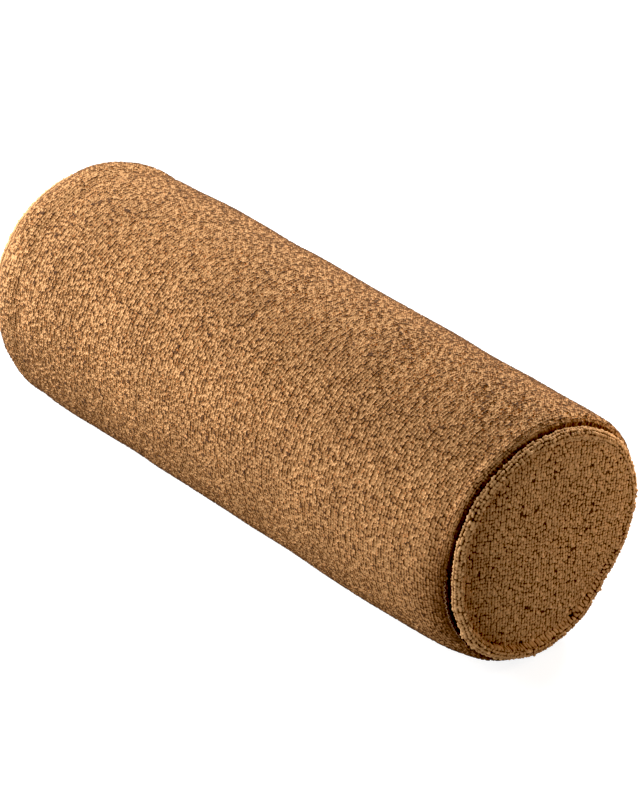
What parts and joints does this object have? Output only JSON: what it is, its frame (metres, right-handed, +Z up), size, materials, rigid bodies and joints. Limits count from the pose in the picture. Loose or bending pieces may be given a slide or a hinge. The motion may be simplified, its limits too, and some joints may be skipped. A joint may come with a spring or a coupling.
{
  "type": "bolster pillow",
  "caption": "Long round bolster pillow in camel boucle, with flat end panels, a rear zip and a removable filled insert.",
  "frame": {"origin": "middle of the flattened strip on which the pillow rests", "axes": "+X along the pillow's axis towards its tight right end, +Y towards the rear, where the zip is, +Z up"},
  "size_m": [0.6, 0.2098, 0.2074],
  "materials": {
    "boucle": "matte",
    "sewing_thread": "matte",
    "sewing_thread_white": "matte",
    "zip_tape": "matte",
    "zip_teeth": "satin",
    "zip_metal": "satin",
    "label_cloth": "matte",
    "casing_cloth": "matte",
    "wadding": "matte",
    "foam": "matte"
  },
  "bodies": {
    "cover": {"cover_tube": "boucle", "cover_end_right": "boucle", "cover_end_left": "boucle", "cover_seam_thread_right": "sewing_thread", "cover_seam_thread_left": "sewing_thread", "back_seam_thread_right": "sewing_thread", "back_seam_thread_left": "sewing_thread", "zip_stitches_upper": "sewing_thread", "zip_stitches_lower": "sewing_thread", "zip_tape_upper": "zip_tape", "zip_tape_lower": "zip_tape", "zip_teeth_upper": "zip_teeth", "zip_teeth_lower": "zip_teeth", "zip_top_stop_upper": "zip_metal", "zip_top_stop_lower": "zip_metal", "zip_bottom_stop": "zip_metal", "insert_casing": "casing_cloth", "insert_end_right": "casing_cloth", "insert_end_left": "casing_cloth", "insert_seam_thread_right": "sewing_thread_white", "insert_seam_thread_left": "sewing_thread_white", "fibre_wadding": "wadding", "fibre_end_pad": "wadding", "foam_core": "foam"},
    "slider": {"zip_slider": "zip_metal"},
    "pull": {"zip_pull": "zip_metal"},
    "label": {"care_label": "label_cloth"}
  },
  "joints": [
    {"name": "zip_slide", "type": "slide", "parent": "cover", "child": "slider", "axis": [-1, 0, 0], "range_m": [0, 0.361], "deforming": ["zip_teeth_upper", "zip_teeth_lower"]},
    {"name": "pull_hinge", "type": "hinge", "parent": "slider", "child": "pull", "pos_m": [0.1865, 0.09843, 0.06673], "axis": [0, -0.342, -0.9397], "range_deg": [0, 165]},
    {"name": "label_flip", "type": "hinge", "parent": "cover", "child": "label", "pos_m": [-0.2235, 0.09942, 0.06638], "axis": [1, 0, 0], "range_deg": [0, 165]}
  ]
}
